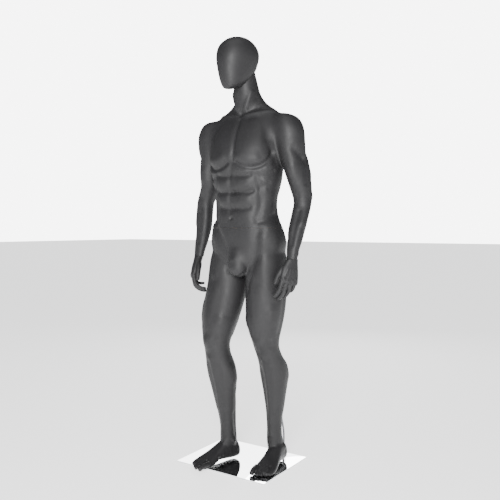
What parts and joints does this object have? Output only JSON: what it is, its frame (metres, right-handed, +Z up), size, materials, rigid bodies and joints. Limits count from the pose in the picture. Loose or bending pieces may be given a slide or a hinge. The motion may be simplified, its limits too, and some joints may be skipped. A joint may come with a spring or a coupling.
{
  "type": "full body mannequin",
  "caption": "Standing male display mannequin with a plain egg head; hollow matt shells part at neck, shoulders, wrists, waist and hip; steel plate and calf rod.",
  "frame": {"origin": "middle of the base plate's underside", "axes": "+Z up; the figure faces -Y, and its own left side is +X; the plate's edges run along X and Y"},
  "size_m": [0.5806, 0.408, 1.86],
  "materials": {
    "laminate": "matt charcoal paint on glass fibre laminate",
    "plywood": "raw board",
    "zinc_plated_steel": "zinc plated",
    "polished_steel": "mirror polished",
    "dark_steel": "dark, smooth"
  },
  "bodies": {
    "base": {"base_plate": "polished_steel", "rod_collar": "polished_steel", "collar_set_screw": "dark_steel", "calf_rod": "dark_steel"},
    "lower_body": {"pelvis_and_left_leg_shell": "laminate", "waist_plate_board": "plywood", "waist_slotted_plate": "zinc_plated_steel", "waist_screw_1": "zinc_plated_steel", "waist_screw_2": "zinc_plated_steel", "right_hip_plate_board": "plywood", "right_hip_slotted_plate": "zinc_plated_steel", "right_hip_screw_1": "zinc_plated_steel", "right_hip_screw_2": "zinc_plated_steel", "calf_socket": "zinc_plated_steel", "calf_block": "plywood"},
    "right_leg": {"right_leg_shell": "laminate", "right_hip_stud_board": "plywood", "right_hip_stud": "zinc_plated_steel"},
    "torso": {"torso_shell": "laminate", "left_shoulder_plate_board": "plywood", "left_shoulder_slotted_plate": "zinc_plated_steel", "left_shoulder_screw_1": "zinc_plated_steel", "left_shoulder_screw_2": "zinc_plated_steel", "right_shoulder_plate_board": "plywood", "right_shoulder_slotted_plate": "zinc_plated_steel", "right_shoulder_screw_1": "zinc_plated_steel", "right_shoulder_screw_2": "zinc_plated_steel", "neck_plate_board": "plywood", "neck_slotted_plate": "zinc_plated_steel", "neck_screw_1": "zinc_plated_steel", "neck_screw_2": "zinc_plated_steel", "waist_stud_board": "plywood", "waist_stud": "zinc_plated_steel"},
    "head": {"head_shell": "laminate", "neck_stud_board": "plywood", "neck_stud": "zinc_plated_steel"},
    "left_arm": {"left_arm_shell": "laminate", "left_shoulder_stud_board": "plywood", "left_shoulder_stud": "zinc_plated_steel", "left_wrist_plate_board": "plywood", "left_wrist_slotted_plate": "zinc_plated_steel"},
    "right_arm": {"right_arm_shell": "laminate", "right_shoulder_stud_board": "plywood", "right_shoulder_stud": "zinc_plated_steel", "right_wrist_plate_board": "plywood", "right_wrist_slotted_plate": "zinc_plated_steel"},
    "left_hand": {"left_hand": "laminate", "left_wrist_stud": "zinc_plated_steel"},
    "right_hand": {"right_hand": "laminate", "right_wrist_stud": "zinc_plated_steel"}
  },
  "joints": [
    {"name": "stand_lift", "type": "slide", "parent": "base", "child": "lower_body", "axis": [0, -0.2924, 0.9563], "range_m": [0, 0.08]},
    {"name": "waist_turn", "type": "hinge", "parent": "lower_body", "child": "torso", "pos_m": [0.053, -0.034, 1.04], "axis": [0, 0, 1], "range_deg": [-90, 90]},
    {"name": "neck_turn", "type": "hinge", "parent": "torso", "child": "head", "pos_m": [0.05, -0.055, 1.714], "axis": [0, -0.1961, 0.9806], "range_deg": [-90, 90]},
    {"name": "left_shoulder_turn", "type": "hinge", "parent": "torso", "child": "left_arm", "pos_m": [0.209, -0.016, 1.444], "axis": [0.9971, 0, 0.0767], "range_deg": [-90, 0]},
    {"name": "right_shoulder_turn", "type": "hinge", "parent": "torso", "child": "right_arm", "pos_m": [-0.109, -0.019, 1.444], "axis": [0.9971, 0, -0.0767], "range_deg": [-90, 0]},
    {"name": "left_wrist_turn", "type": "hinge", "parent": "left_arm", "child": "left_hand", "pos_m": [0.293, -0.063, 0.911], "axis": [0, 0, 1], "range_deg": [-15, 90]},
    {"name": "right_wrist_turn", "type": "hinge", "parent": "right_arm", "child": "right_hand", "pos_m": [-0.208, -0.048, 0.911], "axis": [0, 0, 1], "range_deg": [-90, 15]},
    {"name": "right_hip_turn", "type": "hinge", "parent": "lower_body", "child": "right_leg", "pos_m": [-0.04, -0.028, 0.928], "axis": [-0.6691, 0, -0.7431], "range_deg": [0, 14]}
  ]
}
